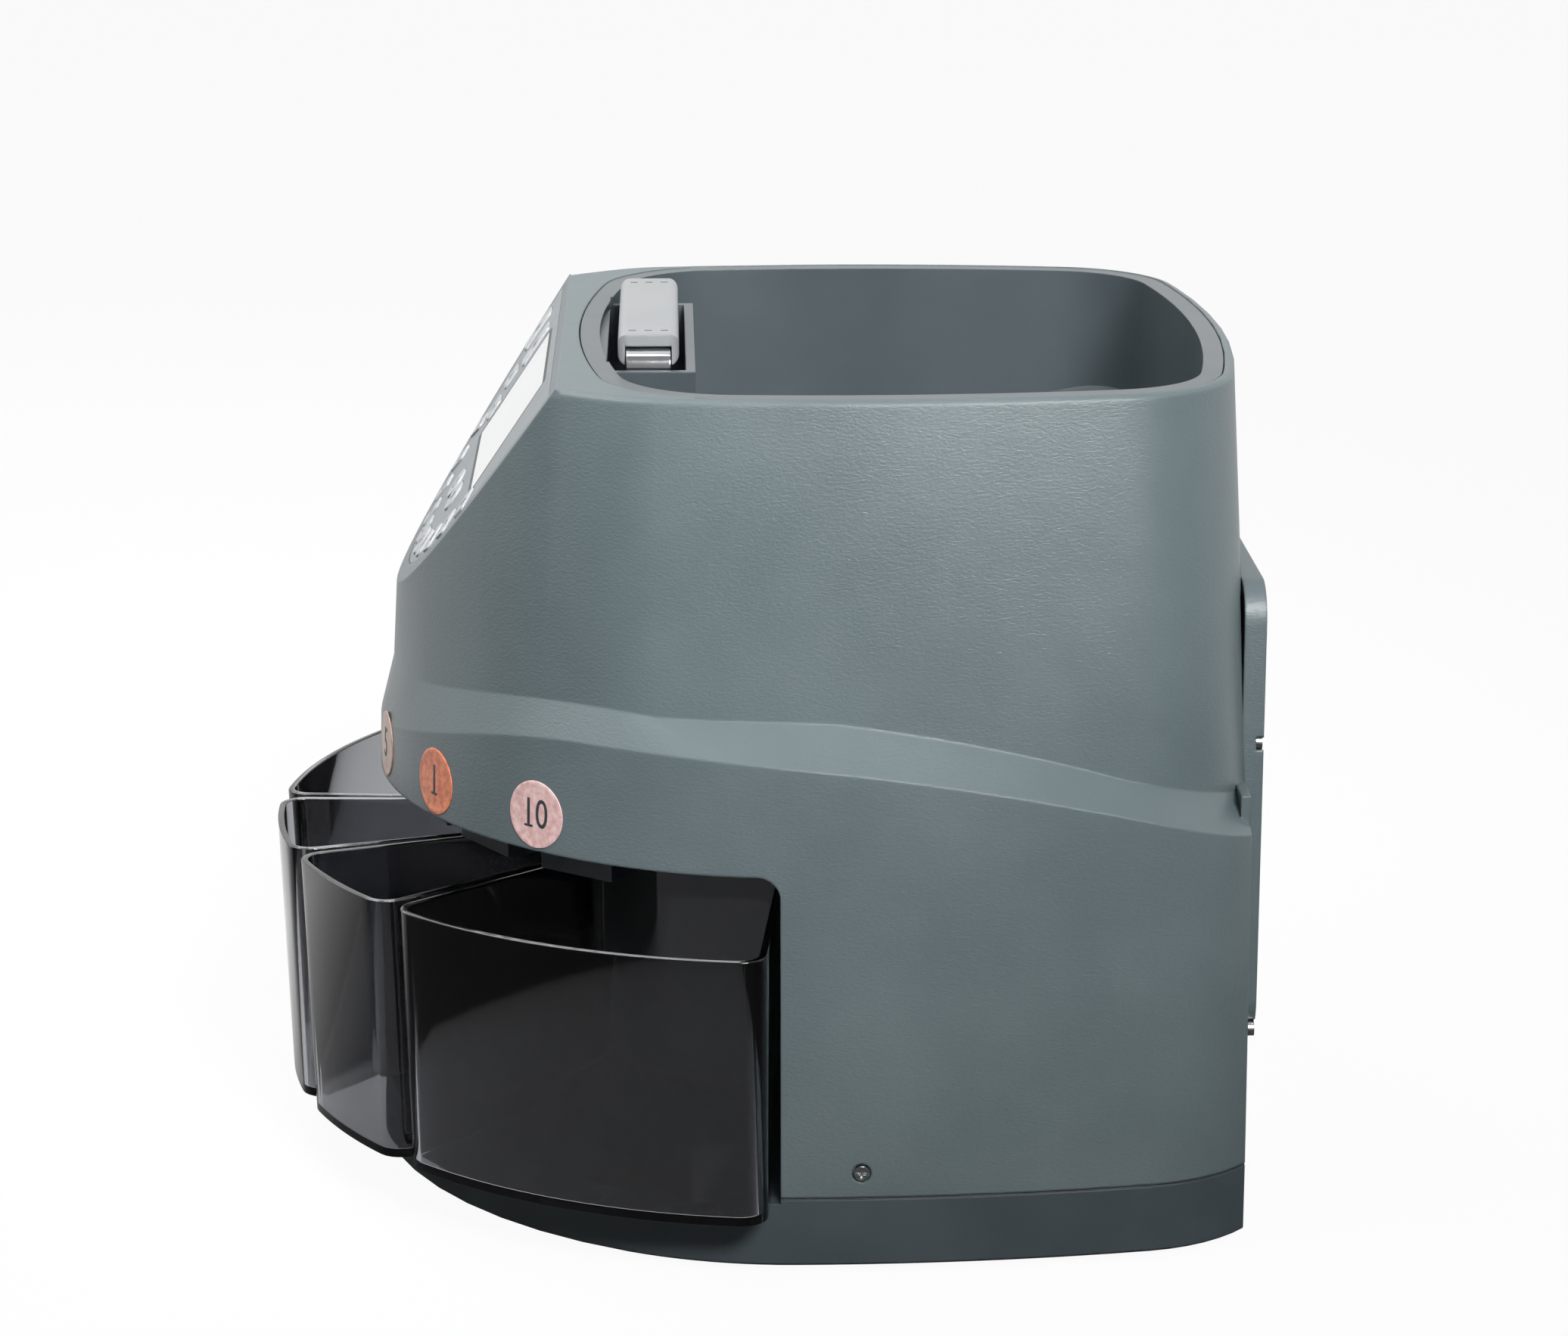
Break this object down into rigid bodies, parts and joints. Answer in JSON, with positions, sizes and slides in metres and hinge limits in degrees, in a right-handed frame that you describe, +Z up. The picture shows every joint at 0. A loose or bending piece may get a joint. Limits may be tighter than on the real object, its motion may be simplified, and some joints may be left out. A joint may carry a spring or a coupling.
{
  "type": "coin sorter",
  "caption": "Counter-top coin sorter: open hopper with a lift handle, sloped panel with LCD and press keys, feed disc driven by a belt, and pull-out smoked coin bins round the front.",
  "frame": {"origin": "centre of the footprint, on the counter", "axes": "+Z up, the control panel and the coin bins face -Y, +X to the right seen from the front"},
  "size_m": [0.3372, 0.3128, 0.273],
  "materials": {
    "housing": "fine leather grain, slate grey",
    "hopper": "satin slate grey",
    "base": "fine grain, darker slate grey",
    "dark": "satin",
    "rubber": "matt black",
    "steel": "zinc plated",
    "black": "satin black",
    "grip": "satin light grey",
    "chrome": "polished",
    "overlay": "printed film, mid grey",
    "lcd": "clear window over a pale display",
    "board": "solder resist",
    "key": "satin light grey",
    "metal": "cast and turned",
    "label": "printed vinyl",
    "bin": "smoked and polished"
  },
  "bodies": {
    "frame": {"base_tray": "base", "rubber_feet": "rubber", "base_screws": "steel", "main_housing": "housing", "side_screws": "steel", "rear_cover": "housing", "rear_screws": "steel", "inlet_plate": "dark", "power_inlet": "black", "hopper_bowl": "hopper", "handle_pins": "steel", "panel_overlay": "overlay", "lcd_window": "lcd", "lcd_module": "board", "keypad_board": "board", "deck_plate": "metal", "bay_wall": "base", "sorting_ring": "metal", "guide_rail": "metal", "coin_chutes": "dark", "coin_sensors": "black", "bearing_housing": "metal", "spindle_bearings": "steel", "drive_belt": "rubber", "motor_body": "metal", "motor_bracket": "steel", "main_board": "board", "power_supply": "board", "coin_labels": "label"},
    "feed": {"spindle": "steel", "feed_disc": "metal", "drive_pulley": "black"},
    "rotor": {"motor_shaft": "steel", "motor_pulley": "black"},
    "handle": {"handle_grip": "grip", "handle_straps": "chrome"},
    "rocker": {"power_rocker": "black"},
    "bin_1": {"coin_bin_1": "bin"},
    "bin_2": {"coin_bin_2": "bin"},
    "bin_3": {"coin_bin_3": "bin"},
    "bin_4": {"coin_bin_4": "bin"},
    "bin_5": {"coin_bin_5": "bin"},
    "key_fan_1_body": {"key_fan_1": "key"},
    "key_fan_2_body": {"key_fan_2": "key"},
    "key_fan_3_body": {"key_fan_3": "key"},
    "key_fan_4_body": {"key_fan_4": "key"},
    "key_fan_5_body": {"key_fan_5": "key"},
    "key_fan_6_body": {"key_fan_6": "key"},
    "key_fan_7_body": {"key_fan_7": "key"},
    "key_fan_8_body": {"key_fan_8": "key"},
    "key_fan_9_body": {"key_fan_9": "key"},
    "key_fan_10_body": {"key_fan_10": "key"},
    "key_oval_1_body": {"key_oval_1": "key"},
    "key_oval_2_body": {"key_oval_2": "key"},
    "key_side_1_body": {"key_side_1": "key"},
    "key_side_2_body": {"key_side_2": "key"},
    "key_side_3_body": {"key_side_3": "key"},
    "key_side_4_body": {"key_side_4": "key"}
  },
  "joints": [
    {"name": "feed_spin", "type": "hinge", "parent": "frame", "child": "feed", "pos_m": [0, 0.0136, 0], "axis": [0, 0, 1], "continuous": true},
    {"name": "motor_spin", "type": "hinge", "parent": "frame", "child": "rotor", "pos_m": [0, 0.0756, 0], "axis": [0, 0, 1], "continuous": true},
    {"name": "handle_lift", "type": "slide", "parent": "frame", "child": "handle", "axis": [0, 0, 1], "range_m": [0, 0.01]},
    {"name": "rocker_switch", "type": "hinge", "parent": "frame", "child": "rocker", "pos_m": [0.064, 0.1526, 0.0448], "axis": [0, 0, 1], "range_deg": [0, 16]},
    {"name": "bin_1_pull", "type": "slide", "parent": "frame", "child": "bin_1", "axis": [0.8949, -0.4462, 0], "range_m": [0, 0.11]},
    {"name": "bin_2_pull", "type": "slide", "parent": "frame", "child": "bin_2", "axis": [0.4977, -0.8673, 0], "range_m": [0, 0.11]},
    {"name": "bin_3_pull", "type": "slide", "parent": "frame", "child": "bin_3", "axis": [0.1314, -0.9913, 0], "range_m": [0, 0.11]},
    {"name": "bin_4_pull", "type": "slide", "parent": "frame", "child": "bin_4", "axis": [-0.3795, -0.9252, 0], "range_m": [0, 0.11]},
    {"name": "bin_5_pull", "type": "slide", "parent": "frame", "child": "bin_5", "axis": [-0.8949, -0.4462, 0], "range_m": [0, 0.11]},
    {"name": "key_fan_1_press", "type": "slide", "parent": "frame", "child": "key_fan_1_body", "axis": [0, 0.829, -0.5592], "range_m": [0, 0.00045], "stiffness_N_per_m": 400},
    {"name": "key_fan_2_press", "type": "slide", "parent": "frame", "child": "key_fan_2_body", "axis": [0, 0.829, -0.5592], "range_m": [0, 0.00045], "stiffness_N_per_m": 400},
    {"name": "key_fan_3_press", "type": "slide", "parent": "frame", "child": "key_fan_3_body", "axis": [0, 0.829, -0.5592], "range_m": [0, 0.00045], "stiffness_N_per_m": 400},
    {"name": "key_fan_4_press", "type": "slide", "parent": "frame", "child": "key_fan_4_body", "axis": [0, 0.829, -0.5592], "range_m": [0, 0.00045], "stiffness_N_per_m": 400},
    {"name": "key_fan_5_press", "type": "slide", "parent": "frame", "child": "key_fan_5_body", "axis": [0, 0.829, -0.5592], "range_m": [0, 0.00045], "stiffness_N_per_m": 400},
    {"name": "key_fan_6_press", "type": "slide", "parent": "frame", "child": "key_fan_6_body", "axis": [0, 0.829, -0.5592], "range_m": [0, 0.00045], "stiffness_N_per_m": 400},
    {"name": "key_fan_7_press", "type": "slide", "parent": "frame", "child": "key_fan_7_body", "axis": [0, 0.829, -0.5592], "range_m": [0, 0.00045], "stiffness_N_per_m": 400},
    {"name": "key_fan_8_press", "type": "slide", "parent": "frame", "child": "key_fan_8_body", "axis": [0, 0.829, -0.5592], "range_m": [0, 0.00045], "stiffness_N_per_m": 400},
    {"name": "key_fan_9_press", "type": "slide", "parent": "frame", "child": "key_fan_9_body", "axis": [0, 0.829, -0.5592], "range_m": [0, 0.00045], "stiffness_N_per_m": 400},
    {"name": "key_fan_10_press", "type": "slide", "parent": "frame", "child": "key_fan_10_body", "axis": [0, 0.829, -0.5592], "range_m": [0, 0.00045], "stiffness_N_per_m": 400},
    {"name": "key_oval_1_press", "type": "slide", "parent": "frame", "child": "key_oval_1_body", "axis": [0, 0.829, -0.5592], "range_m": [0, 0.00045], "stiffness_N_per_m": 400},
    {"name": "key_oval_2_press", "type": "slide", "parent": "frame", "child": "key_oval_2_body", "axis": [0, 0.829, -0.5592], "range_m": [0, 0.00045], "stiffness_N_per_m": 400},
    {"name": "key_side_1_press", "type": "slide", "parent": "frame", "child": "key_side_1_body", "axis": [0, 0.829, -0.5592], "range_m": [0, 0.00045], "stiffness_N_per_m": 400},
    {"name": "key_side_2_press", "type": "slide", "parent": "frame", "child": "key_side_2_body", "axis": [0, 0.829, -0.5592], "range_m": [0, 0.00045], "stiffness_N_per_m": 400},
    {"name": "key_side_3_press", "type": "slide", "parent": "frame", "child": "key_side_3_body", "axis": [0, 0.829, -0.5592], "range_m": [0, 0.00045], "stiffness_N_per_m": 400},
    {"name": "key_side_4_press", "type": "slide", "parent": "frame", "child": "key_side_4_body", "axis": [0, 0.829, -0.5592], "range_m": [0, 0.00045], "stiffness_N_per_m": 400}
  ],
  "couplings": [
    {"joint": "motor_spin", "follows": "feed_spin", "ratio": 3.75}
  ]
}
